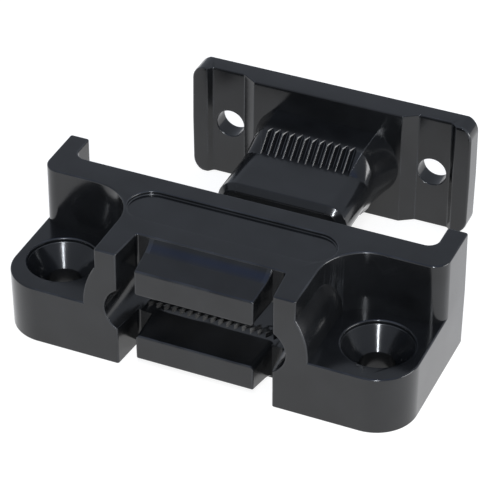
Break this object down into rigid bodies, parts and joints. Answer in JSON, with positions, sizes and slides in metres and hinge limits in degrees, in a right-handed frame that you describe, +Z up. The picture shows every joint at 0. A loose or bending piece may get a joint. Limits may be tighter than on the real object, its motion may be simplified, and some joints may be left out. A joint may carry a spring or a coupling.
{
  "type": "push-in hatch catch",
  "caption": "Two-part moulded catch: a screw-down socket with sprung upper and lower jaws and a separate plate with a serrated tongue that pushes into it from behind.",
  "frame": {"origin": "on the socket's flat underside, in its plane of symmetry X = 0, 15.1 mm behind the front face of its posts and 10.1 mm in front of the back of its wall", "axes": "+X along the length, -Y towards the front of the socket, which is the way the tongue travels when it is pushed in, +Z up from the mounting face"},
  "size_m": [0.0796, 0.0681, 0.0245],
  "materials": {
    "socket_plastic": "smooth moulded black, glossy",
    "jaw_plastic": "smooth moulded black, glossy",
    "striker_plastic": "smooth moulded black, glossy"
  },
  "bodies": {
    "socket": {"socket_base": "socket_plastic"},
    "upper_jaw_body": {"upper_jaw": "jaw_plastic"},
    "lower_jaw_body": {"lower_jaw": "jaw_plastic"},
    "striker_body": {"striker": "striker_plastic"}
  },
  "joints": [
    {"name": "striker_slide", "type": "slide", "parent": "socket", "child": "striker_body", "axis": [0, -1, 0], "range_m": [0, 0.0369]},
    {"name": "upper_jaw_flex", "type": "hinge", "parent": "socket", "child": "upper_jaw_body", "pos_m": [0, -0.0077, 0.0206], "axis": [-1, 0, 0], "range_deg": [0, 3], "stiffness_Nm_per_rad": 4},
    {"name": "lower_jaw_flex", "type": "hinge", "parent": "socket", "child": "lower_jaw_body", "pos_m": [0, -0.0077, 0.0039], "axis": [1, 0, 0], "range_deg": [0, 3], "stiffness_Nm_per_rad": 4}
  ]
}
